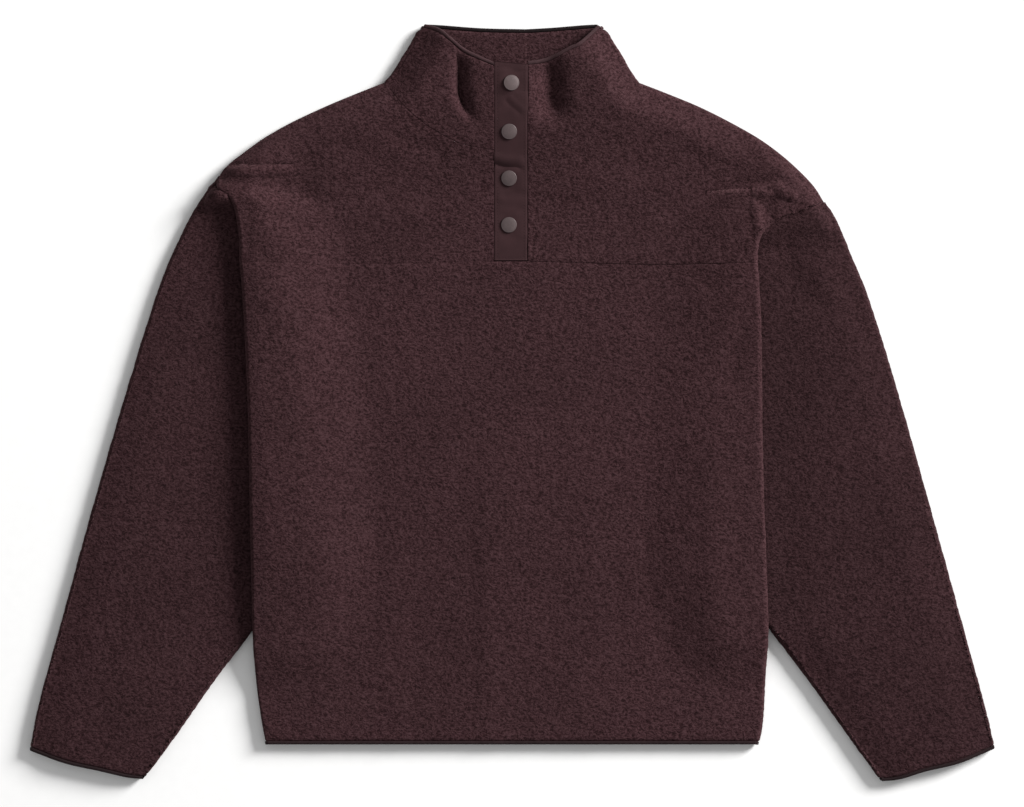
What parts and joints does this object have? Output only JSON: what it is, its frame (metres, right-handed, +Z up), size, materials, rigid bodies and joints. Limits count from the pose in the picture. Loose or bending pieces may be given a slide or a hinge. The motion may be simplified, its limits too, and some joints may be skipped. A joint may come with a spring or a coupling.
{
  "type": "fleece pullover",
  "caption": "Relaxed curly-pile fleece pullover with a stand collar and a snapped neck placket, laid flat with its front up.",
  "frame": {"origin": "middle of the laid garment's box, on the surface it lies on", "axes": "+X from the left cuff of the picture to the right one, +Y towards the collar, +Z up from the surface"},
  "size_m": [0.9638, 0.7559, 0.024],
  "materials": {
    "pile_fleece": "curly high-pile fleece, dark burgundy brown",
    "woven_band": "smooth close weave, dark burgundy brown",
    "elastic_binding": "folded knitted elastic, near black",
    "snap_paint": "matte grey paint"
  },
  "bodies": {
    "root": {"front_body": "pile_fleece", "front_yoke_left": "pile_fleece", "front_yoke_right": "pile_fleece", "back_body": "pile_fleece", "sleeve_left": "pile_fleece", "sleeve_right": "pile_fleece", "collar_left": "pile_fleece", "collar_right": "pile_fleece", "placket_top_band": "woven_band", "placket_under_band": "woven_band", "snap_cap_1": "snap_paint", "snap_cap_2": "snap_paint", "snap_cap_3": "snap_paint", "snap_cap_4": "snap_paint", "collar_binding": "elastic_binding", "hem_binding": "elastic_binding", "cuff_binding_left": "elastic_binding", "cuff_binding_right": "elastic_binding"}
  },
  "joints": []
}
